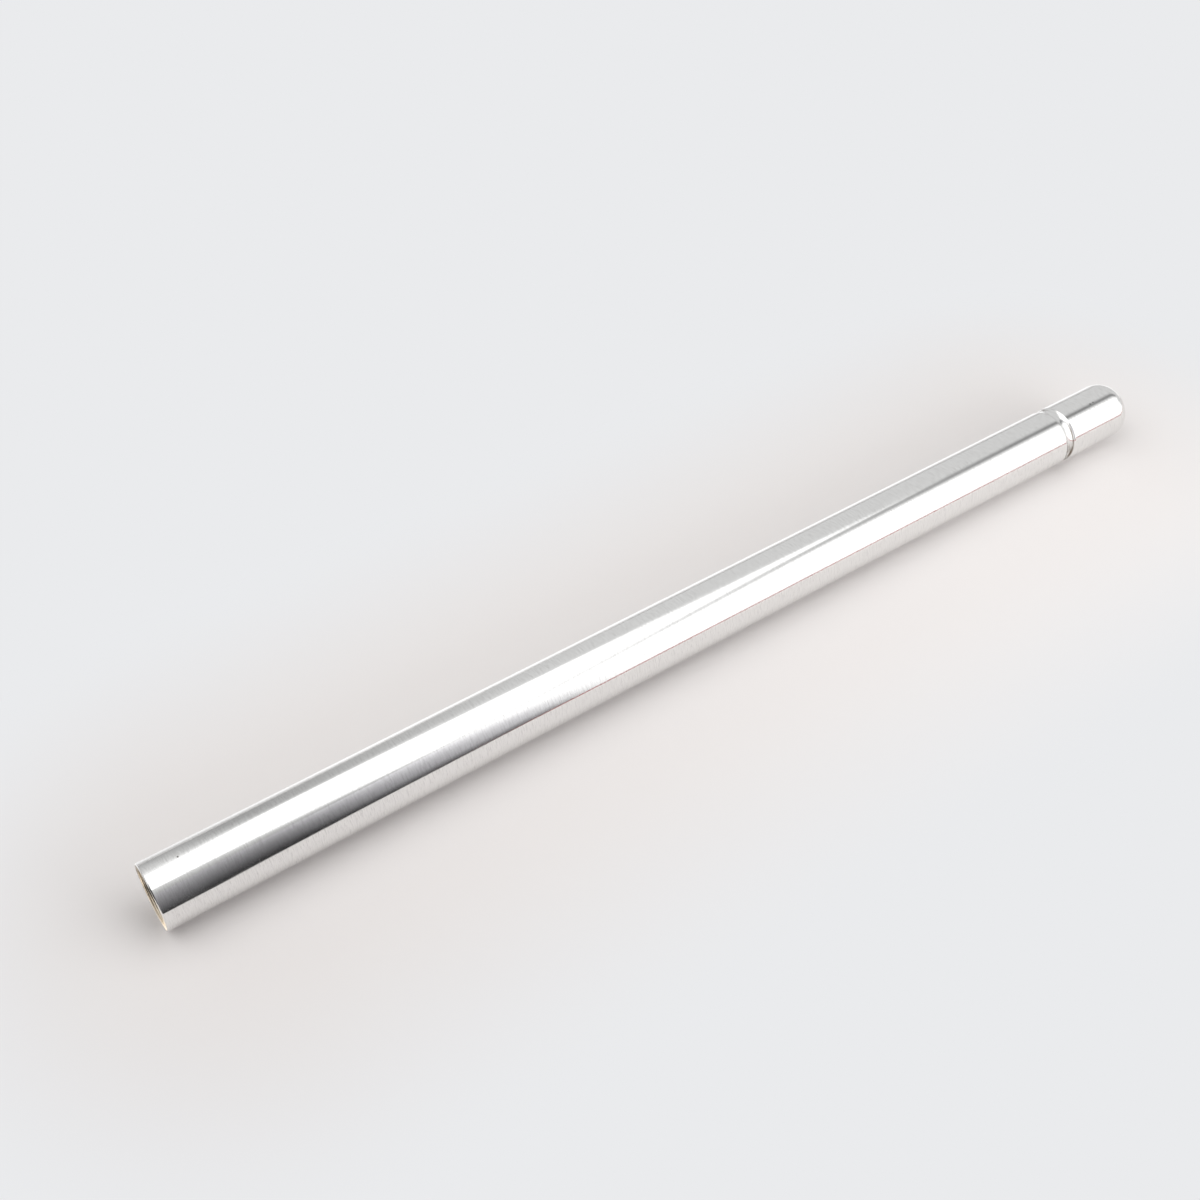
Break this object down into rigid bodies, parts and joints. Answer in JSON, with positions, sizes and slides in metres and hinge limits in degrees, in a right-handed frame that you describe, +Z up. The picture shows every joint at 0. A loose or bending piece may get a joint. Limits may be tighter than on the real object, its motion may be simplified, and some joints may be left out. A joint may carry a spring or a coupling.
{
  "type": "motorcycle fork tube",
  "caption": "Straight hard-chromed steel fork tube with a threaded plain end, a ring groove near the other end and a drawn-in, rounded mouth there.",
  "frame": {"origin": "on the floor, under the middle of the lying tube's length", "axes": "+X along the tube from the plain threaded end to the grooved end, +Z up, +Y across"},
  "size_m": [0.553, 0.03, 0.03],
  "materials": {
    "hard_chrome": "ground and polished hard chrome"
  },
  "bodies": {
    "root": {"fork_tube": "hard_chrome"}
  },
  "joints": []
}
